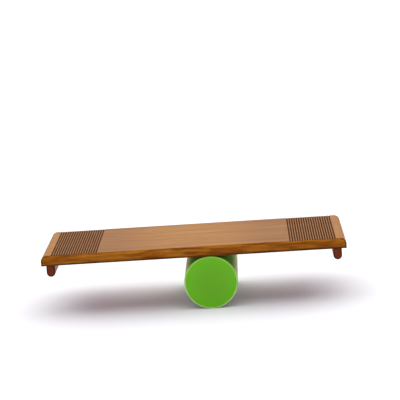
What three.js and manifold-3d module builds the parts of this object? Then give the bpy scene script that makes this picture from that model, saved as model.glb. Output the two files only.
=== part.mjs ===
// Rola bola: a wooden balance deck that rides on a loose plastic roller.
// Sizes are in millimetres. X runs along the deck, Y runs across it away from the front edge, Z is up.
// The origin is on the floor under the middle of the deck, which lies level on the roller.

import * as THREE from "three";
import { mergeVertices } from "three/addons/utils/BufferGeometryUtils.js";
import Module from "manifold-3d";

// Deck: one board with its top ends rounded over
const deckLength = 740;
const deckWidth = 280;
const deckThickness = 26;
const deckEndRadius = 15;
const deckTopArrisRadius = 1.2;
const deckBottomArrisRadius = 1;
const deckCornerRadius = 3;

// Foot fields: rows of round-bottomed grooves milled across the top near each end
const grooveCount = 19;
const groovePitch = 6;
const grooveInset = 27;
const grooveDepth = 1.6;
const grooveCutterRadius = 1.8;

// Stop cleats: hardwood strips with a full-round lower edge, screwed under each end
const cleatWidth = 21;
const cleatHeight = 27;
const cleatInset = 12;
const cleatEndInset = 1;
const cleatEndRadius = 1.5;

// Countersunk wood screws, driven up through each cleat into the deck
const screwsPerCleat = 5;
const screwEndInset = 23;
const screwLength = 40;
const screwShankRadius = 2;
const screwHeadRadius = 4;
const screwRimHeight = 0.5;
const screwConeHeight = 2.4;
const screwTipLength = 6;
const screwPointRadius = 0.3;
const screwSinkDepth = 1.5;
const driverSlotWidth = 1.1;
const driverSlotSpan = 4.6;
const driverSlotDepth = 1.7;

// Roller: a thick-walled plastic tube, closed at each end by a moulded cap
const rollerRadius = 65;
const rollerLength = 278;
const rollerRestX = 38;
const tubeWall = 5.5;
const tubeEdgeChamfer = 0.8;

// Roller caps: a round-edged flange with a tapered spigot, stiffened by a hub and radial ribs
const flangeThickness = 4.5;
const flangeEdgeRadius = 2;
const flangeReveal = 0.4;
const spigotLength = 22;
const spigotWall = 3;
const spigotLeadLength = 4;
const spigotLeadDrop = 1.2;
const crushRibCount = 16;
const crushRibHeight = 0.7;
const crushRibRadius = 0.8;
const crushRibTipRadius = 0.4;
const hubRadius = 11;
const hubWall = 3;
const webCount = 8;
const webThickness = 2.6;
const webSetback = 1.5;

// Clearances and the overrun of cutting tools
const seatGap = 0.3;
const overrun = 2;

// Facets of round stretches
const rollerSegments = 96;
const hubSegments = 32;
const screwSegments = 16;
const endSteps = 8;
const arrisSteps = 3;
const grooveSteps = 5;
const cleatSteps = 16;
const flangeSteps = 4;
const crushRibSegments = 8;

// Places that follow from the sizes
const deckUndersideZ = 2 * rollerRadius + seatGap;
const cleatX = deckLength / 2 - cleatInset - cleatWidth / 2;
const cleatLength = deckWidth - 2 * cleatEndInset;
const screwHeadZ = -seatGap - cleatHeight + screwSinkDepth;
const boreRadius = rollerRadius - tubeWall;
const spigotRadius = boreRadius - seatGap - crushRibHeight;
const spigotEnd = flangeThickness + spigotLength;
const webRoot = flangeThickness / 2;
const webEnd = spigotEnd - webSetback;
const tubeLength = rollerLength - 2 * (flangeThickness + seatGap);

const wasm = await Module();
wasm.setup();

// A closed geometry as a solid that can be joined and cut
function solidOf(geometry) {
  const bare = geometry.clone();
  bare.deleteAttribute("normal");
  bare.deleteAttribute("uv");
  const merged = mergeVertices(bare);
  return new wasm.Manifold(
    new wasm.Mesh({
      numProp: 3,
      vertProperties: merged.attributes.position.array,
      triVerts: new Uint32Array(merged.index.array),
    }),
  );
}

// A solid back as a geometry with flat facets
function geometryOf(solid) {
  const mesh = solid.getMesh();
  const indexed = new THREE.BufferGeometry();
  indexed.setAttribute("position", new THREE.BufferAttribute(mesh.vertProperties, 3));
  indexed.setIndex(new THREE.BufferAttribute(mesh.triVerts, 1));
  const geometry = indexed.toNonIndexed();
  geometry.computeVertexNormals();
  return geometry;
}

// Adds the points of an arc to an outline, both ends included
function addArc(points, x, y, radius, startAngle, endAngle, steps) {
  for (let step = 0; step <= steps; step += 1) {
    const angle = startAngle + ((endAngle - startAngle) * step) / steps;
    points.push(new THREE.Vector2(x + radius * Math.cos(angle), y + radius * Math.sin(angle)));
  }
}

// A rectangle about its centre, with a radius for the two lower and the two upper corners
function roundedOutline(width, height, lowerRadius, upperRadius) {
  const points = [];
  const right = width / 2;
  const top = height / 2;
  const quarter = Math.PI / 2;
  addArc(points, -right + lowerRadius, -top + lowerRadius, lowerRadius, -2 * quarter, -quarter, arrisSteps);
  addArc(points, right - lowerRadius, -top + lowerRadius, lowerRadius, -quarter, 0, arrisSteps);
  addArc(points, right - upperRadius, top - upperRadius, upperRadius, 0, quarter, arrisSteps);
  addArc(points, -right + upperRadius, top - upperRadius, upperRadius, quarter, 2 * quarter, arrisSteps);
  return points;
}

// Extrusions of an outline, centred on zero along the axis that they run along
function extruded(points, length) {
  const geometry = new THREE.ExtrudeGeometry(new THREE.Shape(points), { depth: length, bevelEnabled: false });
  return geometry.translate(0, 0, -length / 2);
}

function extrudedAlongX(points, length) {
  const turn = new THREE.Matrix4().makeBasis(
    new THREE.Vector3(0, 1, 0),
    new THREE.Vector3(0, 0, 1),
    new THREE.Vector3(1, 0, 0),
  );
  return extruded(points, length).applyMatrix4(turn);
}

function extrudedAlongY(points, length) {
  return extruded(points, length).rotateX(Math.PI / 2);
}

// A profile of [radius, height] pairs turned about the Y axis
function turned(profile, segments) {
  const points = profile.map(([radius, height]) => new THREE.Vector2(radius, height));
  return new THREE.LatheGeometry(points, segments);
}

// The places of one cleat's screws across the deck, evenly spread between the two end screws
function screwPlaces() {
  const places = [];
  const first = screwEndInset - cleatLength / 2;
  const pitch = (cleatLength - 2 * screwEndInset) / (screwsPerCleat - 1);
  for (let index = 0; index < screwsPerCleat; index += 1) {
    places.push(first + index * pitch);
  }
  return places;
}

// The screw from its head, at height zero, up to its point. A hole is the same shape grown by a clearance.
function screwProfile(clearance) {
  const rim = screwRimHeight + clearance;
  const shank = screwRimHeight + screwConeHeight + clearance;
  return [
    [screwHeadRadius + clearance, rim],
    [screwShankRadius + clearance, shank],
    [screwShankRadius + clearance, screwLength - screwTipLength + clearance],
    [screwPointRadius + clearance, screwLength + clearance],
    [0, screwLength + clearance],
  ];
}

function screwHole(x, y, headZ) {
  const mouth = -screwSinkDepth - cleatWidth / 2 - overrun;
  const profile = [[0, mouth], [screwHeadRadius + seatGap, mouth], ...screwProfile(seatGap)];
  return solidOf(turned(profile, screwSegments).rotateX(Math.PI / 2).translate(x, y, headZ));
}

// A driver recess is two crossed slots in the head
function screwGeometry() {
  const head = solidOf(turned([[0, 0], [screwHeadRadius, 0], ...screwProfile(0)], screwSegments));
  const slotHeight = driverSlotDepth + overrun;
  const slotCentre = driverSlotDepth - slotHeight / 2;
  const slotAlongX = new THREE.BoxGeometry(driverSlotSpan, slotHeight, driverSlotWidth);
  const slotAlongZ = new THREE.BoxGeometry(driverSlotWidth, slotHeight, driverSlotSpan);
  const recess = solidOf(slotAlongX.translate(0, slotCentre, 0)).add(
    solidOf(slotAlongZ.translate(0, slotCentre, 0)),
  );
  return geometryOf(head.subtract(recess)).rotateX(Math.PI / 2);
}

// The middles of the grooves from right to left along the deck
function groovePlaces() {
  const places = [];
  for (let index = 0; index < grooveCount; index += 1) {
    places.push(deckLength / 2 - grooveInset - index * groovePitch);
  }
  return [...places, ...places.map((place) => -place).reverse()];
}

// The deck seen from the front, from its underside up: round top ends and the scalloped foot fields
function deckSideOutline() {
  const points = [new THREE.Vector2(-deckLength / 2, 0), new THREE.Vector2(deckLength / 2, 0)];
  const endX = deckLength / 2 - deckEndRadius;
  const endZ = deckThickness - deckEndRadius;
  const grooveZ = deckThickness - grooveDepth + grooveCutterRadius;
  const grooveStart = Math.asin((grooveDepth - grooveCutterRadius) / grooveCutterRadius);
  addArc(points, endX, endZ, deckEndRadius, 0, Math.PI / 2, endSteps);
  for (const place of groovePlaces()) {
    addArc(points, place, grooveZ, grooveCutterRadius, grooveStart, -Math.PI - grooveStart, grooveSteps);
  }
  addArc(points, -endX, endZ, deckEndRadius, Math.PI / 2, Math.PI, endSteps);
  return points;
}

// The deck's underside is at height zero. Its section and its plan ease the long arrises and the corners.
function deckGeometry() {
  const side = solidOf(extrudedAlongY(deckSideOutline(), deckWidth + overrun));
  const section = solidOf(
    extrudedAlongX(
      roundedOutline(deckWidth, deckThickness, deckBottomArrisRadius, deckTopArrisRadius),
      deckLength + overrun,
    ).translate(0, 0, deckThickness / 2),
  );
  const plan = solidOf(
    extruded(
      roundedOutline(deckLength, deckWidth, deckCornerRadius, deckCornerRadius),
      2 * (deckThickness + overrun),
    ),
  );
  let deck = side.intersect(section).intersect(plan);
  for (const x of [-cleatX, cleatX]) {
    for (const y of screwPlaces()) {
      deck = deck.subtract(screwHole(x, y, screwHeadZ));
    }
  }
  return geometryOf(deck);
}

// A cleat hangs from height zero, with straight cheeks and a full-round lower edge
function cleatOutline() {
  const points = [];
  const round = cleatWidth / 2;
  addArc(points, 0, -cleatHeight + round, round, -Math.PI, 0, cleatSteps);
  points.push(new THREE.Vector2(round, 0), new THREE.Vector2(-round, 0));
  return points;
}

function cleatGeometry() {
  const bar = solidOf(extrudedAlongY(cleatOutline(), cleatLength));
  const plan = solidOf(
    extruded(
      roundedOutline(cleatWidth, cleatLength, cleatEndRadius, cleatEndRadius),
      2 * (cleatHeight + overrun),
    ),
  );
  let cleat = bar.intersect(plan);
  for (const y of screwPlaces()) {
    cleat = cleat.subtract(screwHole(0, y, screwHeadZ + seatGap));
  }
  return geometryOf(cleat);
}

// The tube is a wall turned about the roller's axis, with its outer edges eased
function tubeGeometry() {
  const end = tubeLength / 2;
  return turned(
    [
      [boreRadius, -end],
      [rollerRadius - tubeEdgeChamfer, -end],
      [rollerRadius, -end + tubeEdgeChamfer],
      [rollerRadius, end - tubeEdgeChamfer],
      [rollerRadius - tubeEdgeChamfer, end],
      [boreRadius, end],
      [boreRadius, -end],
    ],
    rollerSegments,
  );
}

// A cap's outer face is at zero and looks along -Y. The spigot reaches into the tube.
function capShell() {
  const flangeRadius = rollerRadius - flangeReveal;
  const edge = [];
  addArc(
    edge,
    flangeRadius - flangeEdgeRadius,
    flangeEdgeRadius,
    flangeEdgeRadius,
    -Math.PI / 2,
    0,
    flangeSteps,
  );
  return solidOf(
    turned(
      [
        [0, 0],
        ...edge.map((point) => [point.x, point.y]),
        [flangeRadius, flangeThickness],
        [spigotRadius, flangeThickness],
        [spigotRadius, spigotEnd - spigotLeadLength],
        [spigotRadius - spigotLeadDrop, spigotEnd],
        [spigotRadius - spigotWall, spigotEnd],
        [spigotRadius - spigotWall, flangeThickness],
        [0, flangeThickness],
      ],
      rollerSegments,
    ),
  );
}

// The hub is a short open tube on the back of the flange
function capHub() {
  return solidOf(
    turned(
      [
        [hubRadius - hubWall, webRoot],
        [hubRadius, webRoot],
        [hubRadius, webEnd],
        [hubRadius - hubWall, webEnd],
        [hubRadius - hubWall, webRoot],
      ],
      hubSegments,
    ),
  );
}

// A web runs from the hub's wall to the spigot's wall
function capWeb(angle) {
  const inner = hubRadius - hubWall / 2;
  const outer = spigotRadius - spigotWall / 2;
  const web = new THREE.BoxGeometry(outer - inner, webEnd - webRoot, webThickness);
  web.translate((inner + outer) / 2, (webRoot + webEnd) / 2, 0);
  return solidOf(web.rotateY(angle));
}

// A crush rib is a tapered round bead, half sunk along the spigot, which grips the tube's bore
function crushRib(angle) {
  const length = spigotLength - spigotLeadLength;
  const bead = new THREE.CylinderGeometry(crushRibTipRadius, crushRibRadius, length, crushRibSegments);
  bead.translate(spigotRadius + crushRibHeight - crushRibRadius, flangeThickness + length / 2, 0);
  return solidOf(bead.rotateY(angle));
}

function capGeometry() {
  let cap = capShell().add(capHub());
  const webTurn = (2 * Math.PI) / webCount;
  for (let index = 0; index < webCount; index += 1) {
    cap = cap.add(capWeb(index * webTurn));
  }
  const ribTurn = (2 * Math.PI) / crushRibCount;
  for (let index = 0; index < crushRibCount; index += 1) {
    cap = cap.add(crushRib(index * ribTurn + ribTurn / 2));
  }
  return geometryOf(cap);
}

const deckWood = new THREE.MeshStandardMaterial({ color: 0xb4793c, roughness: 0.45, metalness: 0 });
const cleatWood = new THREE.MeshStandardMaterial({ color: 0x6a2c18, roughness: 0.4, metalness: 0 });
const screwSteel = new THREE.MeshStandardMaterial({ color: 0xb9b6ae, roughness: 0.35, metalness: 1 });
const greenTube = new THREE.MeshStandardMaterial({ color: 0x5fa624, roughness: 0.25, metalness: 0 });
const greenCap = new THREE.MeshStandardMaterial({ color: 0x63ab27, roughness: 0.35, metalness: 0 });

function part(name, geometry, material) {
  const mesh = new THREE.Mesh(geometry, material);
  mesh.name = name;
  return mesh;
}

const rolaBola = new THREE.Group();

const deck = new THREE.Group();
deck.position.z = deckUndersideZ;
deck.add(part("deck_board", deckGeometry(), deckWood));
rolaBola.add(deck);

for (const [side, x] of [["left", -cleatX], ["right", cleatX]]) {
  const cleat = part(`stop_cleat_${side}`, cleatGeometry(), cleatWood);
  cleat.position.set(x, 0, -seatGap);
  deck.add(cleat);
  screwPlaces().forEach((y, index) => {
    const screw = part(`cleat_screw_${side}_${index + 1}`, screwGeometry(), screwSteel);
    screw.position.set(x, y, screwHeadZ);
    deck.add(screw);
  });
}

const roller = new THREE.Group();
roller.position.set(rollerRestX, 0, rollerRadius);
roller.add(part("roller_tube", tubeGeometry(), greenTube));
rolaBola.add(roller);

const frontCap = part("roller_front_cap", capGeometry(), greenCap);
frontCap.position.y = -rollerLength / 2;
roller.add(frontCap);

const rearCap = part("roller_rear_cap", capGeometry(), greenCap);
rearCap.position.y = rollerLength / 2;
rearCap.rotation.z = Math.PI;
roller.add(rearCap);

export default rolaBola;
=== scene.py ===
import math
import bmesh
import bpy
from mathutils import Matrix, Vector


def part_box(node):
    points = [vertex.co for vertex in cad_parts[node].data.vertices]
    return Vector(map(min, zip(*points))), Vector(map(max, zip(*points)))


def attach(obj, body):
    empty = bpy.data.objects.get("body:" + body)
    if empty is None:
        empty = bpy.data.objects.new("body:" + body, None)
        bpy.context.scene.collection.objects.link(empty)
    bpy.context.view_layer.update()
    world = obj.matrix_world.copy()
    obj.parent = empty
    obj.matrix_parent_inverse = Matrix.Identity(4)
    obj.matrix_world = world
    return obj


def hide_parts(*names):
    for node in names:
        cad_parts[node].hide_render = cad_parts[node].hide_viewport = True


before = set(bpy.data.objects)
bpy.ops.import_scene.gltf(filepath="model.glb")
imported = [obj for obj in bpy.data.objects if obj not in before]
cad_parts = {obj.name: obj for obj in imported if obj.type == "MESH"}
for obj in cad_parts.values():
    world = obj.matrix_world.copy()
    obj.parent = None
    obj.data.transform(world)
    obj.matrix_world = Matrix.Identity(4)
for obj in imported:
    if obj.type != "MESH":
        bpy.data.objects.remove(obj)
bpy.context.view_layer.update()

# The camera stands nearly eleven degrees above the deck and a little to the right of its middle, behind
# a long lens. It is turned about its own line of sight, so that the level deck slopes in the picture.
camera_azimuth = math.radians(1.73)
camera_elevation = math.radians(10.73)
camera_roll = math.radians(-3.88)
camera_distance = 4.2
camera_lens = 156.4
camera_reach = 100
aim_point = Vector((0.0239, -0.11, 0.2643))

camera_turn = (
    Matrix.Rotation(camera_azimuth, 4, "Z")
    @ Matrix.Rotation(math.pi / 2 - camera_elevation, 4, "X")
    @ Matrix.Rotation(camera_roll, 4, "Z")
)
camera_place = aim_point + camera_turn @ Vector((0, 0, camera_distance))
bpy.ops.object.camera_add(location=camera_place, rotation=camera_turn.to_euler())
camera = bpy.context.object
camera.name = "studio_camera"
camera.data.lens = camera_lens
camera.data.clip_end = camera_reach
bpy.context.scene.camera = camera

# The studio is a wide matt floor in a dim room, under one long soft light that runs from front to back
# overhead. The camera sees plain white behind it. The floor glows faintly and burns out to the same
# white, and only the soft shadow under the deck stays grey.
floor_span = 60
floor_colour = (0.8, 0.81, 0.815, 1)
floor_glow_colour = (0.83, 0.61, 1.0, 1)
floor_glow = 0.09
backdrop_colour = (1.1, 1.1, 1.1, 1)
wall_colour = (0.24, 0.25, 0.27, 1)
softbox_colour = (2.1, 2.1, 2.1, 1)
softbox_lean = math.radians(20)
softbox_half_width = math.radians(46)
softbox_half_length = math.radians(56)
softbox_edge = math.radians(10)


def add_node(tree, kind, sockets=None, **settings):
    """Adds a shader node. An input is set to a value, or linked if it is given another node's output."""
    made = tree.nodes.new(kind)
    for setting, value in settings.items():
        setattr(made, setting, value)
    for key, value in (sockets or {}).items():
        if isinstance(value, bpy.types.NodeSocket):
            tree.links.new(value, made.inputs[key])
        else:
            made.inputs[key].default_value = value
    return made


def new_material(name):
    """A new node material, and its tree and main shader."""
    material = bpy.data.materials.new(name)
    material.use_nodes = True
    tree = material.node_tree
    return material, tree, tree.nodes["Principled BSDF"]


def maths(tree, operation, first, second=0.0, third=0.0):
    """The result of one sum on numbers or outputs."""
    sockets = {0: first, 1: second, 2: third}
    return add_node(tree, "ShaderNodeMath", sockets, operation=operation).outputs[0]


def spread(tree, value, low, high, to_low=0.0, to_high=1.0):
    """A value eased from one range into another, and held at its ends."""
    sockets = {"Value": value, "From Min": low, "From Max": high, "To Min": to_low, "To Max": to_high}
    made = add_node(tree, "ShaderNodeMapRange", sockets, interpolation_type="SMOOTHSTEP", clamp=True)
    return made.outputs["Result"]


def blended(tree, factor, under, over, kind="MIX"):
    """Two colours mixed by a factor. A mix node's colours are its inputs 6 and 7 and its output 2."""
    sockets = {0: factor, 6: under, 7: over}
    return add_node(tree, "ShaderNodeMix", sockets, data_type="RGBA", blend_type=kind).outputs[2]


bpy.ops.mesh.primitive_plane_add(size=floor_span)
floor = bpy.context.object
floor.name = "studio_floor"
floor_sheet, tree, shader = new_material("glowing_white_sheet")
shader.inputs["Base Color"].default_value = floor_colour
shader.inputs["Roughness"].default_value = 1
shader.inputs["Specular IOR Level"].default_value = 0
shader.inputs["Emission Color"].default_value = floor_glow_colour
shader.inputs["Emission Strength"].default_value = floor_glow
floor.data.materials.append(floor_sheet)

studio = bpy.data.worlds.new("white_studio")
studio.use_nodes = True
tree = studio.node_tree
direction = add_node(tree, "ShaderNodeTexCoord").outputs["Generated"]
toward = add_node(tree, "ShaderNodeMapping", {"Vector": direction, "Rotation": (softbox_lean, 0, 0)})
parts = add_node(tree, "ShaderNodeSeparateXYZ", {0: toward.outputs["Vector"]}).outputs
lit = maths(tree, "GREATER_THAN", parts["Z"], 0.0)
for part, half_angle in ((parts["X"], softbox_half_width), (parts["Y"], softbox_half_length)):
    aside = maths(tree, "ABSOLUTE", maths(tree, "ARCTAN2", part, parts["Z"]))
    inside = spread(tree, aside, half_angle - softbox_edge, half_angle + softbox_edge, 1.0, 0.0)
    lit = maths(tree, "MULTIPLY", lit, inside)
light = blended(tree, lit, wall_colour, softbox_colour)
seen = add_node(tree, "ShaderNodeLightPath").outputs["Is Camera Ray"]
shown = blended(tree, seen, light, backdrop_colour)
tree.links.new(shown, tree.nodes["Background"].inputs["Color"])
tree.nodes["Background"].inputs["Strength"].default_value = 1
bpy.context.scene.world = studio
bpy.context.scene.view_settings.view_transform = "Standard"

# The deck is one flat-sawn hardwood board, its top ends rounded over and its long edges eased by hand.
# A round-nosed cutter ploughed a field of grooves across the top near each end, for grip.
# It is stained and clear varnished: the edges and the grooves take more stain than the flat of the top.
# Painted shade darkens the grooves further, the foot of each edge face, the outline of the rounded ends
# and the top towards the foot fields, and the edge faces are painted lighter towards the top.
deck_end_radius = 0.015
deck_end_steps = 14
deck_top_arris = 0.0012
deck_top_arris_steps = 4
deck_bottom_arris = 0.001
deck_bottom_arris_steps = 2
groove_count = 19
groove_pitch = 0.006
groove_inset = 0.027
groove_depth = 0.0016
groove_cutter_radius = 0.0018
groove_lip_radius = 0.0003
groove_arc_steps = 4
groove_lip_steps = 3
screws_per_cleat = 5
screw_point = 0.006
shank_share = 0.5
hole_slack = 0.0003
hole_sides = 48
cutter_overrun = 0.003
snug = 0.00001
smooth_angle = math.radians(34)
upward = Vector((0, 0, 1))

deck_low, deck_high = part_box("deck_board")
first_groove = deck_high.x - groove_inset


def add_block(name, low, high):
    """A block between two corners, with its place in its mesh."""
    bpy.ops.object.select_all(action="DESELECT")
    bpy.ops.mesh.primitive_cube_add(size=1, location=(low + high) / 2)
    block = bpy.context.object
    block.name = name
    block.data.name = name
    block.scale = high - low
    bpy.ops.object.transform_apply(location=True, rotation=True, scale=True)
    return block


def pick(kind, wanted):
    """In edit mode, selects each vertex, edge or face whose corner points pass a test."""
    bpy.ops.mesh.select_mode(type=kind)
    bpy.ops.mesh.select_all(action="DESELECT")
    mesh = bpy.context.edit_object.data
    shape = bmesh.from_edit_mesh(mesh)
    for part in {"VERT": shape.verts, "EDGE": shape.edges, "FACE": shape.faces}[kind]:
        corners = [part.co] if kind == "VERT" else [vertex.co for vertex in part.verts]
        if wanted(corners):
            part.select_set(True)
    shape.select_flush_mode()
    bmesh.update_edit_mesh(mesh)


def all_at(corners, axis, place):
    """True if every corner point lies at a place along the x, y or z axis."""
    return all(abs(getattr(corner, axis) - place) < snug for corner in corners)


def make_active(piece):
    """Selects one piece alone, for the operators that follow."""
    bpy.ops.object.select_all(action="DESELECT")
    bpy.context.view_layer.objects.active = piece
    piece.select_set(True)


def finish_surface(piece, angle=smooth_angle):
    """Shades a piece smooth up to an angle, with its large flat faces kept flat."""
    make_active(piece)
    bpy.ops.object.shade_smooth_by_angle(angle=angle)
    flatness = piece.modifiers.new("flat faces", "WEIGHTED_NORMAL")
    flatness.keep_sharp = True
    bpy.ops.object.modifier_apply(modifier=flatness.name)


def groove_section():
    """Half of a groove's section, as pairs of the distance from its middle and the depth."""
    section = []
    cutter_drop = groove_lip_radius + groove_cutter_radius - groove_depth
    bottom_angle = math.acos(cutter_drop / groove_cutter_radius)
    lip_middle = groove_cutter_radius * math.sin(bottom_angle) + groove_lip_radius
    for step in range(groove_lip_steps + 1):
        angle = math.pi / 2 * step / groove_lip_steps
        section.append((
            lip_middle - groove_lip_radius * math.sin(angle),
            groove_lip_radius * (1 - math.cos(angle)),
        ))
    for step in range(1, groove_arc_steps + 1):
        angle = bottom_angle * (1 - step / groove_arc_steps)
        section.append((
            groove_cutter_radius * math.sin(angle),
            groove_depth - groove_cutter_radius * (1 - math.cos(angle)),
        ))
    return section


def from_nearest_groove(x):
    """The distance along the deck from the middle of the nearest groove."""
    steps = round((first_groove - x) / groove_pitch)
    steps = min(max(steps, 0), groove_count - 1)
    return abs(first_groove - steps * groove_pitch - x)


def turned_piece(name, base, axis, profile, sides):
    """A round solid: a filled circle, extruded and scaled through pairs of radius and height."""
    radius, height = profile[0]
    bpy.ops.object.select_all(action="DESELECT")
    bpy.ops.mesh.primitive_circle_add(
        vertices=sides,
        radius=radius,
        fill_type="NGON",
        location=base + axis * height,
        rotation=upward.rotation_difference(axis).to_euler(),
    )
    piece = bpy.context.object
    piece.name = name
    piece.data.name = name
    bpy.ops.object.transform_apply(location=True, rotation=True, scale=True)
    bpy.ops.object.mode_set(mode="EDIT")
    bpy.ops.mesh.select_mode(type="FACE")
    bpy.ops.mesh.select_all(action="SELECT")
    for next_radius, next_height in profile[1:]:
        rise = axis * (next_height - height)
        bpy.ops.mesh.extrude_region_move(TRANSFORM_OT_translate={"value": rise})
        change = next_radius / radius
        stretch = [1 if abs(part) > 0 else change for part in axis]
        bpy.ops.transform.resize(value=stretch, center_override=base + axis * next_height)
        radius, height = next_radius, next_height
    bpy.ops.mesh.select_all(action="SELECT")
    bpy.ops.mesh.normals_make_consistent(inside=False)
    bpy.ops.object.mode_set(mode="OBJECT")
    return piece


def combine(piece, tool, operation):
    """Cuts a piece with a tool, or joins the tool to it, and takes the tool away."""
    make_active(piece)
    cut = piece.modifiers.new("cut", "BOOLEAN")
    cut.operation = operation
    cut.solver = "EXACT"
    cut.object = tool
    bpy.ops.object.modifier_apply(modifier=cut.name)
    bpy.data.objects.remove(tool)


def screw_place(node):
    """The middle of the bottom of a screw's head, the height of the screw's tip, and its head's radius."""
    low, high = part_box(node)
    middle = (low + high) / 2
    return Vector((middle.x, middle.y, low.z)), high.z, (high.x - low.x) / 2


deck = add_block("varnished_deck", Vector((0, deck_low.y, deck_low.z)), deck_high)
bpy.ops.object.mode_set(mode="EDIT")
pick("FACE", lambda corners: all_at(corners, "x", 0))
bpy.ops.mesh.delete(type="ONLY_FACE")
pick("EDGE", lambda corners: all_at(corners, "x", deck_high.x) and all_at(corners, "z", deck_high.z))
bpy.ops.mesh.bevel(offset=deck_end_radius, segments=deck_end_steps)
for side in (deck_low.y, deck_high.y):
    pick("EDGE", lambda corners: (
        all_at(corners, "y", side) and not all_at(corners, "z", deck_low.z) and not all_at(corners, "x", 0)
    ))
    bpy.ops.mesh.bevel(offset=deck_top_arris, segments=deck_top_arris_steps)
pick("EDGE", lambda corners: all_at(corners, "z", deck_low.z) and not all_at(corners, "x", 0))
bpy.ops.mesh.bevel(offset=deck_bottom_arris, segments=deck_bottom_arris_steps)
for index in range(groove_count):
    groove_middle = first_groove - index * groove_pitch
    for distance, depth in groove_section():
        for row in {groove_middle - distance, groove_middle + distance}:
            bpy.ops.mesh.select_all(action="SELECT")
            bpy.ops.mesh.bisect(plane_co=(row, 0, 0), plane_no=(1, 0, 0))
for distance, depth in groove_section()[1:]:
    level = deck_high.z - depth
    pick("VERT", lambda corners: (
        corners[0].z > level and abs(from_nearest_groove(corners[0].x) - distance) < snug
    ))
    bpy.ops.transform.resize(value=(1, 1, 0), center_override=(0, 0, level))
bpy.ops.object.mode_set(mode="OBJECT")
halves = deck.modifiers.new("other half", "MIRROR")
halves.merge_threshold = snug
bpy.ops.object.modifier_apply(modifier=halves.name)
for side in ("left", "right"):
    for index in range(screws_per_cleat):
        base, tip, head_radius = screw_place(f"cleat_screw_{side}_{index + 1}")
        base.z = deck_low.z
        pilot_radius = head_radius * shank_share + hole_slack
        pilot_depth = tip - deck_low.z + hole_slack
        pilot = turned_piece("pilot", base, upward, [
            (pilot_radius, -cutter_overrun),
            (pilot_radius, pilot_depth - screw_point),
            (hole_slack, pilot_depth),
        ], hole_sides)
        combine(deck, pilot, "DIFFERENCE")
finish_surface(deck)

# Noise tones run from 0 to 1, and waves are counted by the metre along, across and through the grain.
ring_drift_waves = (1.7, 5.0, 5.0)
ring_waver_waves = (9.0, 60.0, 60.0)
ring_waver_share = 0.1
late_wood_tones = (0.25, 0.9)
year_end_tones = (0.93, 1.0)
ring_share = 0.7
fibre_waves = (14.0, 620.0, 620.0)
fibre_tones = (0.3, 0.7)
fibre_share = 0.3
streak_waves = (3.0, 85.0, 85.0)
streak_tones = (0.38, 0.68)
streak_share = 0.6
patch_waves = (5.0, 11.0, 11.0)
patch_tones = (0.4, 0.8)
patch_share = 0.35
fleck_waves = (170.0, 1900.0, 1900.0)
fleck_tones = (0.6, 0.7)
fleck_share = 0.45
fleck_roughness = 0.12
varnish_tones = (0.2, 0.8)
varnish_roughness = (0.3, 0.46)
grain_relief = 0.0002
grain_relief_share = 0.35


def stretched_noise(tree, place, waves, detail=2.0, roughness=0.5):
    """Noise with so many waves a metre along each axis."""
    scaled = add_node(tree, "ShaderNodeVectorMath", {0: place, 1: waves}, operation="MULTIPLY")
    sockets = {"Vector": scaled.outputs[0], "Scale": 1.0, "Detail": detail, "Roughness": roughness}
    return add_node(tree, "ShaderNodeTexNoise", sockets).outputs["Fac"]


def long_side(tree, first, second):
    """The long side of a right-angled triangle whose short sides are two outputs."""
    corner = add_node(tree, "ShaderNodeCombineXYZ", {0: first, 1: second, 2: 0.0}).outputs[0]
    return add_node(tree, "ShaderNodeVectorMath", {0: corner}, operation="LENGTH").outputs["Value"]


def add_relief(tree, shader, height, strength, depth):
    """Gives a shader's surface a fine relief from a height."""
    bump = add_node(tree, "ShaderNodeBump", {"Height": height, "Strength": strength, "Distance": depth})
    tree.links.new(bump.outputs["Normal"], shader.inputs["Normal"])


def log_place(tree, pith, turn):
    """A point of the piece as a point of the log that it was sawn from, with the grain along X."""
    place = add_node(tree, "ShaderNodeTexCoord").outputs["Object"]
    moved = add_node(tree, "ShaderNodeVectorMath", {0: place, 1: pith}, operation="SUBTRACT")
    sockets = {"Vector": moved.outputs[0], "Rotation": (0, 0, turn)}
    return add_node(tree, "ShaderNodeMapping", sockets).outputs["Vector"]


def growth_rings(tree, grain, ring_width, wander):
    """Growth rings round the pith, from 0 in the early wood to 1 at the end of each year."""
    drift = stretched_noise(tree, grain, ring_drift_waves)
    waver = stretched_noise(tree, grain, ring_waver_waves, detail=3.0)
    parts = add_node(tree, "ShaderNodeSeparateXYZ", {0: grain}).outputs
    moved = maths(tree, "MULTIPLY_ADD", drift, wander, long_side(tree, parts["Y"], parts["Z"]))
    moved = maths(tree, "MULTIPLY_ADD", waver, wander * ring_waver_share, moved)
    year = maths(tree, "FRACT", maths(tree, "DIVIDE", moved, ring_width))
    rising = spread(tree, year, *late_wood_tones)
    falling = spread(tree, year, *year_end_tones, 1.0, 0.0)
    return maths(tree, "MULTIPLY", rising, falling)


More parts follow.
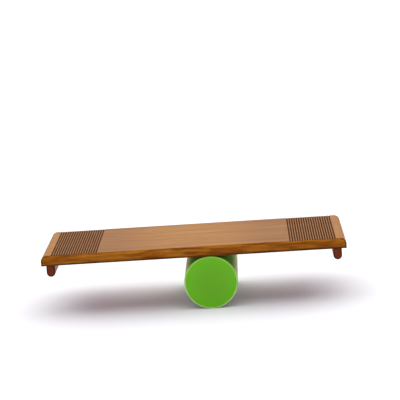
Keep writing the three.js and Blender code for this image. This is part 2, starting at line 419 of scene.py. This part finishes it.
def wood(name, pith, turn, ring_width, wander, colours, shine):
    """A stained and varnished wood, and its tree, shader and colour."""
    light, dark, ray = colours
    material, tree, shader = new_material(name)
    grain = log_place(tree, pith, turn)
    rings = growth_rings(tree, grain, ring_width, wander)
    fibres = stretched_noise(tree, grain, fibre_waves, detail=3.0, roughness=0.6)
    streaks = stretched_noise(tree, grain, streak_waves, detail=3.0, roughness=0.55)
    patches = stretched_noise(tree, grain, patch_waves)
    flecks = spread(tree, stretched_noise(tree, grain, fleck_waves, detail=1.0), *fleck_tones)
    colour = blended(tree, maths(tree, "MULTIPLY", rings, ring_share), light, dark)
    colour = blended(tree, spread(tree, streaks, *streak_tones, 0.0, streak_share), colour, dark)
    colour = blended(tree, spread(tree, fibres, *fibre_tones, 0.0, fibre_share), colour, dark)
    colour = blended(tree, spread(tree, patches, *patch_tones, 0.0, patch_share), colour, ray)
    colour = blended(tree, maths(tree, "MULTIPLY", flecks, fleck_share), colour, dark, "MULTIPLY")
    rough = spread(tree, fibres, *varnish_tones, *varnish_roughness)
    rough = maths(tree, "ADD", rough, maths(tree, "MULTIPLY", flecks, fleck_roughness))
    tree.links.new(rough, shader.inputs["Roughness"])
    shader.inputs["Specular IOR Level"].default_value = shine
    add_relief(tree, shader, maths(tree, "SUBTRACT", fibres, flecks), grain_relief_share, grain_relief)
    return material, tree, shader, colour


deck_pith_aside = 0.035
deck_pith_below = 0.06
deck_ring_width = 0.0042
deck_ring_wander = 0.03
deck_shine = 0.045
deck_light = (0.45, 0.196, 0.032, 1)
deck_dark = (0.26, 0.094, 0.012, 1)
deck_ray = (0.355, 0.144, 0.022, 1)
edge_facing = (0.55, 0.95)
# The edge faces' stain is painted lighter towards the top and darker towards the foot, as painted light
# from above.
edge_stain_painted_lit_top = (1.42, 1.2, 0.57, 1)
edge_stain_painted_shaded_foot = (0.93, 0.78, 0.35, 1)
mottle_waves = (20.0, 90.0, 150.0)
mottle_tones = (0.38, 0.68)
edge_mottle = (0.55, 0.4, 0.32, 1)
# A dark line on the edge faces along each rounded end is painted shade where the round-over turns away.
outline_start = 0.0036
outline_full = 0.0018
outline_reach = 0.006
outline_flat_share = 0.25
painted_outline_shade = (0.26, 0.22, 0.18, 1)
# A dark band along the foot of each edge face is painted shade under the bottom arris.
lower_line_full = 0.0025
lower_line_end = 0.0051
painted_foot_shade = (0.36, 0.3, 0.26, 1)
end_facing = (0.8, 0.98)
end_stain_start = 0.004
end_stain_full = 0.001
end_stain = (0.42, 0.28, 0.18, 1)
field_margin = 0.002
field_margin_end = 0.003
# The grooves are darkened partly by stain and partly by painted shade in the hollows.
darkened_depth = 0.8 * groove_depth
undarkened_depth = 0.1 * groove_depth
under_groove_start = 1.2 * groove_depth
under_groove_end = 1.6 * groove_depth
groove_stain_and_painted_shade = (0.2, 0.12, 0.08, 1)
groove_roughness = 0.85
# The top is darkened towards the foot fields by painted shade.
field_shade_start = 0.06
field_shade_full = 0.2
painted_field_shade = (0.78, 0.74, 0.7, 1)

deck_wood, tree, shader, colour = wood(
    "stained_deck_wood",
    (0.0, deck_pith_aside, deck_low.z - deck_pith_below),
    0.0,
    deck_ring_width,
    deck_ring_wander,
    (deck_light, deck_dark, deck_ray),
    deck_shine,
)
surface = add_node(tree, "ShaderNodeTexCoord").outputs
normal = add_node(tree, "ShaderNodeSeparateXYZ", {0: surface["Normal"]}).outputs
place = add_node(tree, "ShaderNodeSeparateXYZ", {0: surface["Object"]}).outputs
from_middle = maths(tree, "ABSOLUTE", place["X"])
on_edge = spread(tree, maths(tree, "ABSOLUTE", normal["Y"]), *edge_facing)
not_edge = maths(tree, "SUBTRACT", 1.0, on_edge)
on_end = spread(tree, maths(tree, "ABSOLUTE", normal["X"]), *end_facing)
near_end = spread(tree, from_middle, deck_high.x - end_stain_start, deck_high.x - end_stain_full)
before_end = spread(
    tree, from_middle, first_groove + field_margin, first_groove + field_margin_end, 1.0, 0.0,
)
on_flat = maths(tree, "MULTIPLY", not_edge, before_end)
sunk = spread(tree, place["Z"], deck_high.z - darkened_depth, deck_high.z - undarkened_depth, 1.0, 0.0)
above_floor = spread(
    tree, place["Z"], deck_high.z - under_groove_end, deck_high.z - under_groove_start,
)
in_groove = maths(tree, "MULTIPLY", maths(tree, "MULTIPLY", sunk, above_floor), on_flat)
# Painted shade on the top, growing towards the foot fields.
field_shade = maths(tree, "MULTIPLY", spread(tree, from_middle, field_shade_start, field_shade_full), on_flat)
# Painted light from above: the edge faces grow lighter from the foot up to the top.
rise = spread(tree, place["Z"], deck_low.z, deck_high.z - deck_top_arris)
# Painted shade along the foot of each edge face.
lower_line = spread(
    tree, place["Z"], deck_low.z + lower_line_full, deck_low.z + lower_line_end, 1.0, 0.0,
)
# Painted shade along the outline of the rounded ends on the edge faces.
past_end = maths(tree, "SUBTRACT", from_middle, deck_high.x - deck_end_radius)
past_end = maths(tree, "MAXIMUM", past_end, 0.0)
past_rise = maths(tree, "SUBTRACT", place["Z"], deck_high.z - deck_end_radius)
past_rise = maths(tree, "MAXIMUM", past_rise, 0.0)
from_arc = long_side(tree, past_end, past_rise)
outline = spread(tree, from_arc, deck_end_radius - outline_start, deck_end_radius - outline_full)
outline_share = spread(tree, past_end, 0.0, outline_reach, outline_flat_share, 1.0)
outline = maths(tree, "MULTIPLY", outline, outline_share)
mottle = stretched_noise(tree, surface["Object"], mottle_waves, detail=4.0, roughness=0.55)
edge_stain_and_painted_shade = blended(tree, rise, edge_stain_painted_shaded_foot, edge_stain_painted_lit_top)
edge_stain_and_painted_shade = blended(tree, spread(tree, mottle, *mottle_tones), edge_stain_and_painted_shade, edge_mottle, "MULTIPLY")
edge_stain_and_painted_shade = blended(tree, outline, edge_stain_and_painted_shade, painted_outline_shade, "MULTIPLY")
colour = blended(tree, on_edge, colour, edge_stain_and_painted_shade, "MULTIPLY")
colour = blended(tree, maths(tree, "MULTIPLY", on_edge, lower_line), colour, painted_foot_shade, "MULTIPLY")
colour = blended(tree, maths(tree, "MULTIPLY", on_end, near_end), colour, end_stain, "MULTIPLY")
colour = blended(tree, field_shade, colour, painted_field_shade, "MULTIPLY")
# The grooves get stain and painted shade.
colour = blended(tree, in_groove, colour, groove_stain_and_painted_shade, "MULTIPLY")
tree.links.new(colour, shader.inputs["Base Color"])
varnish = shader.inputs["Roughness"].links[0].from_socket
dulled = maths(tree, "MULTIPLY", in_groove, groove_roughness)
tree.links.new(maths(tree, "MAXIMUM", varnish, dulled), shader.inputs["Roughness"])
deck.data.materials.append(deck_wood)
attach(deck, "deck")
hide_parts("deck_board")

# A stop cleat is a strip of darker hardwood under each end of the deck, with straight cheeks and a
# full-round lower edge. It stops the roller. Its holes are drilled and countersunk for five screws.
cleat_nose_steps = 16
cleat_end_round = 0.0018
cleat_end_steps = 4
cleat_top_arris = 0.0006
cleat_top_arris_steps = 2
screw_sink = 0.0015
screw_cone = 0.0024
screw_rim = 0.0005


def add_cleat(name, node, screw_node):
    """The strip between the corners of its CAD node, drilled where that node's screws are."""
    low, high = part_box(node)
    half = (high.x - low.x) / 2
    cleat = add_block(name, low, high)

    def on_cheek(corners):
        return all_at(corners, "x", low.x) or all_at(corners, "x", high.x)

    bpy.ops.object.mode_set(mode="EDIT")
    pick("EDGE", lambda corners: all_at(corners, "z", low.z) and on_cheek(corners))
    bpy.ops.mesh.bevel(offset=half - snug / 2, segments=cleat_nose_steps)
    bpy.ops.mesh.select_all(action="SELECT")
    bpy.ops.mesh.remove_doubles(threshold=snug * 3)
    for end in (low.y, high.y):
        pick("EDGE", lambda corners: all_at(corners, "y", end))
        bpy.ops.mesh.bevel(offset=cleat_end_round, segments=cleat_end_steps)
    pick("EDGE", lambda corners: all_at(corners, "z", high.z) and on_cheek(corners))
    bpy.ops.mesh.bevel(offset=cleat_top_arris, segments=cleat_top_arris_steps)
    bpy.ops.object.mode_set(mode="OBJECT")
    for index in range(screws_per_cleat):
        base, tip, head_radius = screw_place(f"{screw_node}_{index + 1}")
        head_hole = head_radius + hole_slack
        shank_hole = head_radius * shank_share + hole_slack
        drill = turned_piece("drill", base, upward, [
            (head_hole, -screw_sink - cutter_overrun),
            (head_hole, screw_rim + hole_slack),
            (shank_hole, screw_rim + screw_cone + hole_slack),
            (shank_hole, high.z - base.z + cutter_overrun),
        ], hole_sides)
        combine(cleat, drill, "DIFFERENCE")
    finish_surface(cleat)
    return cleat


cleat_pith_aside = 0.02
cleat_pith_below = 0.03
cleat_ring_width = 0.0023
cleat_ring_wander = 0.012
cleat_shine = 0.1
cleat_light = (0.24, 0.039, 0.008, 1)
cleat_dark = (0.1, 0.015, 0.004, 1)
cleat_ray = (0.15, 0.024, 0.006, 1)
# The end faces of each cleat get a dark ring of painted shade along their rounded lower edge.
cleat_rim_start = 0.0036
cleat_rim_full = 0.0014
cleat_end_facing = (0.15, 0.5)
painted_cleat_rim_shade = (0.35, 0.3, 0.3, 1)

for side in ("left", "right"):
    cleat = add_cleat(f"{side}_cleat", f"stop_cleat_{side}", f"cleat_screw_{side}")
    cleat_low, cleat_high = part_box(f"stop_cleat_{side}")
    cleat_radius = (cleat_high.x - cleat_low.x) / 2
    cleat_wood, tree, shader, colour = wood(
        f"dark_{side}_cleat_wood",
        (cleat_low.x - cleat_pith_aside, 0.0, cleat_low.z - cleat_pith_below),
        math.pi / 2,
        cleat_ring_width,
        cleat_ring_wander,
        (cleat_light, cleat_dark, cleat_ray),
        cleat_shine,
    )
    surface = add_node(tree, "ShaderNodeTexCoord").outputs
    normal = add_node(tree, "ShaderNodeSeparateXYZ", {0: surface["Normal"]}).outputs
    place = add_node(tree, "ShaderNodeSeparateXYZ", {0: surface["Object"]}).outputs
    beside = maths(tree, "SUBTRACT", place["X"], (cleat_low.x + cleat_high.x) / 2)
    below = maths(tree, "SUBTRACT", place["Z"], cleat_low.z + cleat_radius)
    from_arc = long_side(tree, beside, maths(tree, "MINIMUM", below, 0.0))
    # Painted shade round the rounded lower edge of the end faces.
    rim = spread(tree, from_arc, cleat_radius - cleat_rim_start, cleat_radius - cleat_rim_full)
    on_end = spread(tree, maths(tree, "ABSOLUTE", normal["Y"]), *cleat_end_facing)
    colour = blended(tree, maths(tree, "MULTIPLY", rim, on_end), colour, painted_cleat_rim_shade, "MULTIPLY")
    tree.links.new(colour, shader.inputs["Base Color"])
    cleat.data.materials.append(cleat_wood)
    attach(cleat, "deck")
    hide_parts(f"stop_cleat_{side}")

# The cleats are held by countersunk wood screws of zinc-plated steel, driven up into the deck. Each has
# a thread cut into its shank. Its head sits just below the round edge of the cleat, at its own angle.
recess_span = 0.0046
recess_width = 0.0011
recess_depth = 0.0017
recess_taper_share = 0.55
screw_tip_radius = 0.0003
plain_shank_end = 0.016
shoulder_length = 0.0006
core_share = 0.68
thread_pitch = 0.0018
thread_inner_radius = 0.0002
thread_tip_radius = 0.0004
thread_root_width = 0.0009
thread_crest_share = 0.2
thread_crest_sink = 0.00005
thread_steps = 24
doubled_reach = 0.000001
rim_ease = 0.00012
screw_smooth_angle = math.radians(25)
screw_turns = (10, 52, 31, 77, 20, 64, 5, 38, 83, 47)


def drive_recess(name, base):
    """A cross-shaped punch, narrower at its inner end."""
    punch = None
    for along_x in (True, False):
        half_x = (recess_span if along_x else recess_width) / 2
        half_y = (recess_width if along_x else recess_span) / 2
        low = base + Vector((-half_x, -half_y, -cutter_overrun))
        high = base + Vector((half_x, half_y, recess_depth))
        blade = add_block(name, low, high)
        bpy.ops.object.mode_set(mode="EDIT")
        pick("FACE", lambda corners: all_at(corners, "z", high.z))
        taper = (recess_taper_share, 1, 1) if along_x else (1, recess_taper_share, 1)
        bpy.ops.transform.resize(value=taper, center_override=base)
        bpy.ops.object.mode_set(mode="OBJECT")
        if punch:
            combine(punch, blade, "UNION")
        else:
            punch = blade
    return punch


def split_faces(piece):
    """Merges doubled corners and splits a piece's faces into triangles, which the next cut needs."""
    make_active(piece)
    bpy.ops.object.mode_set(mode="EDIT")
    bpy.ops.mesh.select_all(action="SELECT")
    bpy.ops.mesh.remove_doubles(threshold=doubled_reach)
    bpy.ops.mesh.quads_convert_to_tris()
    bpy.ops.object.mode_set(mode="OBJECT")


def add_thread(base, start, end, crest_radius):
    """A thin tapered rib, wound along the screw's axis from one height to another."""
    bpy.ops.object.select_all(action="DESELECT")
    bpy.ops.mesh.primitive_plane_add(
        size=1,
        location=((thread_inner_radius + crest_radius) / 2, 0, start),
        rotation=(math.pi / 2, 0, 0),
    )
    thread = bpy.context.object
    thread.scale = (crest_radius - thread_inner_radius, thread_root_width, 1)
    bpy.ops.object.transform_apply(location=True, rotation=True, scale=True)
    bpy.ops.object.mode_set(mode="EDIT")
    pick("EDGE", lambda corners: all_at(corners, "x", crest_radius))
    bpy.ops.transform.resize(value=(1, 1, thread_crest_share), center_override=(crest_radius, 0, start))
    bpy.ops.mesh.select_mode(type="FACE")
    bpy.ops.mesh.select_all(action="SELECT")
    bpy.ops.mesh.delete(type="ONLY_FACE")
    bpy.ops.object.mode_set(mode="OBJECT")
    winding = thread.modifiers.new("winding", "SCREW")
    winding.axis = "Z"
    winding.angle = 2 * math.pi
    winding.screw_offset = thread_pitch
    winding.iterations = math.floor((end - start - thread_root_width / 2) / thread_pitch)
    winding.steps = thread_steps
    winding.render_steps = thread_steps
    bpy.ops.object.modifier_apply(modifier=winding.name)
    thread.location = base
    bpy.ops.object.transform_apply(location=True, rotation=True, scale=True)
    bpy.ops.object.mode_set(mode="EDIT")
    bpy.ops.mesh.select_all(action="SELECT")
    bpy.ops.mesh.fill_holes(sides=4)
    bpy.ops.mesh.select_all(action="SELECT")
    bpy.ops.mesh.normals_make_consistent(inside=False)
    bpy.ops.object.mode_set(mode="OBJECT")
    split_faces(thread)
    return thread


def copy_piece(piece, name):
    """A copy of a piece, with a mesh of its own."""
    copied = piece.copy()
    copied.name = name
    copied.data = piece.data.copy()
    copied.data.name = name
    bpy.context.collection.objects.link(copied)
    return copied


first_base, first_tip, head_radius = screw_place("cleat_screw_left_1")
screw_length = first_tip - first_base.z
shank_radius = head_radius * shank_share
core_radius = core_share * shank_radius
point_start = screw_length - screw_point
pattern_screw = turned_piece("pattern_screw", first_base, upward, [
    (head_radius - rim_ease, 0),
    (head_radius, rim_ease),
    (head_radius, screw_rim),
    (shank_radius, screw_rim + screw_cone),
    (shank_radius, plain_shank_end),
    (core_radius, plain_shank_end + shoulder_length),
    (core_radius, point_start),
    (screw_tip_radius, screw_length),
], hole_sides)
thread_start = plain_shank_end - thread_pitch / 2
thread = add_thread(first_base, thread_start, screw_length, shank_radius - thread_crest_sink)
combine(pattern_screw, thread, "UNION")
split_faces(pattern_screw)
sharpener = turned_piece("sharpener", first_base, upward, [
    (head_radius + cutter_overrun, -cutter_overrun),
    (head_radius + cutter_overrun, point_start),
    (shank_radius, point_start),
    (thread_tip_radius, screw_length),
    (thread_tip_radius, screw_length + cutter_overrun),
], hole_sides)
combine(pattern_screw, sharpener, "INTERSECT")
split_faces(pattern_screw)
combine(pattern_screw, drive_recess("punch", first_base), "DIFFERENCE")
finish_surface(pattern_screw, screw_smooth_angle)

zinc_bright = (0.62, 0.6, 0.55, 1)
zinc_dull = (0.42, 0.4, 0.36, 1)
zinc_smear_waves = (260.0, 260.0, 260.0)
zinc_smear_tones = (0.35, 0.75)
zinc_grain_waves = (900.0, 900.0, 900.0)
zinc_grain_tones = (0.2, 0.8)
zinc_roughness = (0.22, 0.42)
zinc_relief = 0.00005
zinc_relief_share = 0.3

steel, tree, shader = new_material("zinc_plated_steel")
shader.inputs["Metallic"].default_value = 1
place = add_node(tree, "ShaderNodeTexCoord").outputs["Object"]
grains = stretched_noise(tree, place, zinc_grain_waves, detail=3.0)
smears = stretched_noise(tree, place, zinc_smear_waves)
zinc = blended(tree, spread(tree, smears, *zinc_smear_tones), zinc_bright, zinc_dull)
tree.links.new(zinc, shader.inputs["Base Color"])
tree.links.new(spread(tree, grains, *zinc_grain_tones, *zinc_roughness), shader.inputs["Roughness"])
add_relief(tree, shader, grains, zinc_relief_share, zinc_relief)

turns = iter(screw_turns)
to_axis = Matrix.Translation(-first_base)
for side in ("left", "right"):
    for index in range(screws_per_cleat):
        base, tip, head_radius = screw_place(f"cleat_screw_{side}_{index + 1}")
        screw = copy_piece(pattern_screw, f"{side}_screw_{index + 1}")
        screw_turn = Matrix.Rotation(math.radians(next(turns)), 4, "Z")
        screw.data.transform(Matrix.Translation(base) @ screw_turn @ to_axis)
        screw.data.materials.append(steel)
        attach(screw, "deck")
        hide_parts(f"cleat_screw_{side}_{index + 1}")
bpy.data.objects.remove(pattern_screw)

# The roller is a length of thick-walled extruded plastic tube, cut square, with its edges broken.
# It is green right through and dull, with faint extrusion lines and light scuffs from rolling.
# A pale sheen is painted into its colour where it is seen at a grazing angle.
tube_wall = 0.0055
tube_outer_ease = 0.0008
tube_outer_ease_steps = 3
tube_inner_ease = 0.0004
tube_inner_ease_steps = 2
roller_sides = 192

tube_low, tube_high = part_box("roller_tube")
roller_radius = (tube_high.z - tube_low.z) / 2
roller_middle = (tube_low + tube_high) / 2
bore_radius = roller_radius - tube_wall
bpy.ops.object.select_all(action="DESELECT")
bpy.ops.mesh.primitive_cylinder_add(
    vertices=roller_sides,
    radius=roller_radius,
    depth=tube_high.y - tube_low.y,
    location=roller_middle,
    rotation=(math.pi / 2, 0, 0),
)
tube = bpy.context.object
tube.name = "green_tube"
tube.data.name = "green_tube"
bpy.ops.object.transform_apply(location=True, rotation=True, scale=True)


def from_roller_axis(corner):
    """The distance of a point from the roller's axis."""
    return math.hypot(corner.x - roller_middle.x, corner.z - roller_middle.z)


def at_tube_end(corners):
    """True if the points lie on one end of the tube."""
    return all_at(corners, "y", tube_low.y) or all_at(corners, "y", tube_high.y)


def on_outer_edge(corners):
    """True if the points lie on the outer edge of one end of the tube."""
    on_outside = all(abs(from_roller_axis(corner) - roller_radius) < snug for corner in corners)
    return at_tube_end(corners) and on_outside


def in_bore(corners):
    """True if the points lie nearer to the axis than the middle of the wall."""
    return all(from_roller_axis(corner) < roller_radius - tube_wall / 2 for corner in corners)


bpy.ops.object.mode_set(mode="EDIT")
pick("FACE", on_outer_edge)
bpy.ops.mesh.inset(thickness=tube_wall, use_individual=True)
bpy.ops.mesh.delete(type="ONLY_FACE")
pick("EDGE", in_bore)
bpy.ops.mesh.bridge_edge_loops()
pick("EDGE", on_outer_edge)
bpy.ops.mesh.bevel(offset=tube_outer_ease, segments=tube_outer_ease_steps)
pick("EDGE", lambda corners: at_tube_end(corners) and in_bore(corners))
bpy.ops.mesh.bevel(offset=tube_inner_ease, segments=tube_inner_ease_steps)
bpy.ops.mesh.select_all(action="SELECT")
bpy.ops.mesh.normals_make_consistent(inside=False)
bpy.ops.object.mode_set(mode="OBJECT")
finish_surface(tube)

scuffed_green = (0.36, 0.62, 0.12, 1)
scuff_tones = (0.62, 0.72)
scuff_share = 0.1
scuff_roughness = 0.2
tint_waves = (9.0, 9.0, 9.0)
tint_tones = (0.3, 0.7)
tint_share = 0.5
drawn_tones = (0.25, 0.75)
drawn_roughness = 0.08
drawn_relief_share = 0.6
peel_waves = (420.0, 420.0, 420.0)
plastic_relief = 0.0001
plastic_relief_share = 0.25


def green_plastic(name, colour, deep, roughness, shine, drawn_waves, scuff_waves):
    """A plastic with streaks, scuffs and a slight orange peel, and its tree, shader and colour."""
    material, tree, shader = new_material(name)
    place = add_node(tree, "ShaderNodeTexCoord").outputs["Object"]
    tint = stretched_noise(tree, place, tint_waves)
    drawn = stretched_noise(tree, place, drawn_waves)
    peel = stretched_noise(tree, place, peel_waves, detail=1.0)
    scratches = stretched_noise(tree, place, scuff_waves, roughness=0.6)
    scratches = spread(tree, scratches, *scuff_tones)
    mixed = blended(tree, spread(tree, tint, *tint_tones, 0.0, tint_share), colour, deep)
    mixed = blended(tree, maths(tree, "MULTIPLY", scratches, scuff_share), mixed, scuffed_green)
    rough = spread(tree, drawn, *drawn_tones, roughness, roughness + drawn_roughness)
    rough = maths(tree, "MULTIPLY_ADD", scratches, scuff_roughness, rough)
    tree.links.new(rough, shader.inputs["Roughness"])
    relief = maths(tree, "MULTIPLY_ADD", drawn, drawn_relief_share, peel)
    relief = maths(tree, "SUBTRACT", relief, scratches)
    add_relief(tree, shader, relief, plastic_relief_share, plastic_relief)
    shader.inputs["Specular IOR Level"].default_value = shine
    return material, tree, shader, mixed


tube_green = (0.095, 0.35, 0.003, 1)
tube_deep_green = (0.08, 0.3, 0.003, 1)
tube_roughness = 0.42
tube_shine = 0.004
tube_drawn_waves = (500.0, 6.0, 500.0)
tube_scuff_waves = (220.0, 2400.0, 220.0)
painted_tube_sheen = (0.83, 0.88, 0.42, 1)
painted_sheen_facing = (0.845, 0.965)

tube_plastic, tree, shader, colour = green_plastic(
    "drawn_green_tube",
    tube_green,
    tube_deep_green,
    tube_roughness,
    tube_shine,
    tube_drawn_waves,
    tube_scuff_waves,
)
# A painted sheen: the colour turns pale where the tube is seen at a grazing angle.
facing = add_node(tree, "ShaderNodeLayerWeight", {"Blend": 0.5}).outputs["Facing"]
sheen = spread(tree, facing, *painted_sheen_facing)
tree.links.new(blended(tree, sheen, colour, painted_tube_sheen), shader.inputs["Base Color"])
tube.data.materials.append(tube_plastic)
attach(tube, "roller")
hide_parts("roller_tube")

# A moulded green cap closes each end of the tube. Its round-edged flange covers the cut end, and its
# spigot, with crush ribs outside and a ribbed hub inside, is pressed into the bore.
flange_thickness = 0.0045
flange_edge_radius = 0.002
flange_edge_steps = 6
flange_reveal = 0.0004
spigot_wall = 0.003
spigot_lead = 0.004
spigot_lead_drop = 0.0012
crush_ribs = 16
crush_rib_height = 0.0007
crush_rib_radius = 0.0008
crush_rib_tip_radius = 0.0004
crush_rib_sides = 16
hub_radius = 0.011
hub_wall = 0.003
web_count = 8
web_thickness = 0.0026
web_setback = 0.0015
cap_gap = 0.0003

cap_low, cap_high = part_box("roller_front_cap")
cap_face = Vector((roller_middle.x, cap_low.y, roller_middle.z))
inward = Vector((0, 1, 0))
flange_radius = roller_radius - flange_reveal
spigot_radius = bore_radius - cap_gap - crush_rib_height
spigot_end = cap_high.y - cap_low.y
web_end = spigot_end - web_setback
web_root = flange_thickness / 2


def cap_profile():
    """The cap's outside from the middle of its face round the flange and the spigot, then back inside."""
    profile = []
    for step in range(flange_edge_steps + 1):
        angle = math.pi / 2 * step / flange_edge_steps
        profile.append((
            flange_radius - flange_edge_radius * (1 - math.sin(angle)),
            flange_edge_radius * (1 - math.cos(angle)),
        ))
    return profile + [
        (flange_radius, flange_thickness),
        (spigot_radius, flange_thickness),
        (spigot_radius, spigot_end - spigot_lead),
        (spigot_radius - spigot_lead_drop, spigot_end),
        (spigot_radius - spigot_wall, spigot_end),
        (spigot_radius - spigot_wall, flange_thickness),
    ]


def turn_about(piece, point, angle, axis):
    """Turns a piece's mesh about an axis through a point."""
    there = Matrix.Translation(point)
    piece.data.transform(there @ Matrix.Rotation(angle, 4, axis) @ there.inverted())


front_cap = turned_piece("front_cap", cap_face, inward, cap_profile(), roller_sides)
hub = turned_piece("hub", cap_face, inward, [(hub_radius, web_root), (hub_radius, web_end)], hole_sides)
for index in range(web_count // 2):
    web_reach = spigot_radius - spigot_wall / 2
    low = cap_face + Vector((-web_reach, web_root, -web_thickness / 2))
    high = cap_face + Vector((web_reach, web_end, web_thickness / 2))
    web = add_block("web", low, high)
    turn_about(web, roller_middle, 2 * math.pi * index / web_count, "Y")
    combine(hub, web, "UNION")
hub_bore = turned_piece("hub_bore", cap_face, inward, [
    (hub_radius - hub_wall, flange_thickness),
    (hub_radius - hub_wall, spigot_end),
], hole_sides)
combine(hub, hub_bore, "DIFFERENCE")
combine(front_cap, hub, "UNION")
for index in range(crush_ribs):
    rib_base = cap_face + Vector((spigot_radius + crush_rib_height - crush_rib_radius, 0, 0))
    rib = turned_piece("rib", rib_base, inward, [
        (crush_rib_radius, web_root),
        (crush_rib_radius, flange_thickness),
        (crush_rib_tip_radius, spigot_end - spigot_lead),
    ], crush_rib_sides)
    turn_about(rib, roller_middle, 2 * math.pi * (index + 0.5) / crush_ribs, "Y")
    combine(front_cap, rib, "UNION")
finish_surface(front_cap)

rear_cap = copy_piece(front_cap, "rear_cap")
turn_about(rear_cap, Vector((roller_middle.x, 0, roller_middle.z)), math.pi, "Z")

cap_green = (0.156, 0.565, 0.003, 1)
cap_deep_green = (0.138, 0.51, 0.003, 1)
cap_roughness = 0.34
cap_shine = 0.25
cap_flow_waves = (60.0, 60.0, 60.0)
cap_scuff_waves = (240.0, 240.0, 240.0)
middle_tint_full = 0.02
middle_tint_end = 0.06
middle_tint = (0.97, 0.88, 1.3, 1)
# A pale line round the cap's rim is a painted highlight, broken up by noise and weaker towards the top.
rim_highlight_start = 0.0034
rim_highlight_full = 0.0016
rim_highlight_share = 0.95
glint_waves = (90.0, 90.0, 90.0)
glint_tones = (0.3, 0.6)
glint_shares = (0.7, 1.0)
glint_reach = 0.05
glint_top_share = 0.45
painted_rim_highlight = (0.72, 0.95, 0.34, 1)

cap_plastic, tree, shader, colour = green_plastic(
    "satin_green_cap",
    cap_green,
    cap_deep_green,
    cap_roughness,
    cap_shine,
    cap_flow_waves,
    cap_scuff_waves,
)
place = add_node(tree, "ShaderNodeTexCoord").outputs["Object"]
axis_point = (roller_middle.x, 0.0, roller_middle.z)
moved = add_node(tree, "ShaderNodeVectorMath", {0: place, 1: axis_point}, operation="SUBTRACT").outputs[0]
parts = add_node(tree, "ShaderNodeSeparateXYZ", {0: moved}).outputs
radius = long_side(tree, parts["X"], parts["Z"])
in_middle = spread(tree, radius, middle_tint_full, middle_tint_end, 1.0, 0.0)
tinted = blended(tree, 1.0, colour, middle_tint, "MULTIPLY")
# The painted rim highlight, weaker towards the top and uneven.
glint_low = spread(tree, parts["Z"], -glint_reach, glint_reach, 1.0, glint_top_share)
rim_glint = spread(tree, stretched_noise(tree, place, glint_waves), *glint_tones, *glint_shares)
rim_glint = maths(tree, "MULTIPLY", rim_glint, glint_low)
on_rim = spread(
    tree, radius, flange_radius - rim_highlight_start, flange_radius - rim_highlight_full, 0.0, rim_highlight_share,
)
colour = blended(tree, in_middle, colour, tinted)
colour = blended(tree, maths(tree, "MULTIPLY", on_rim, rim_glint), colour, painted_rim_highlight)
tree.links.new(colour, shader.inputs["Base Color"])
for cap, body, node in (
    (front_cap, "roller", "roller_front_cap"),
    (rear_cap, "rear_cap", "roller_rear_cap"),
):
    cap.data.materials.append(cap_plastic)
    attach(cap, body)
    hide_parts(node)
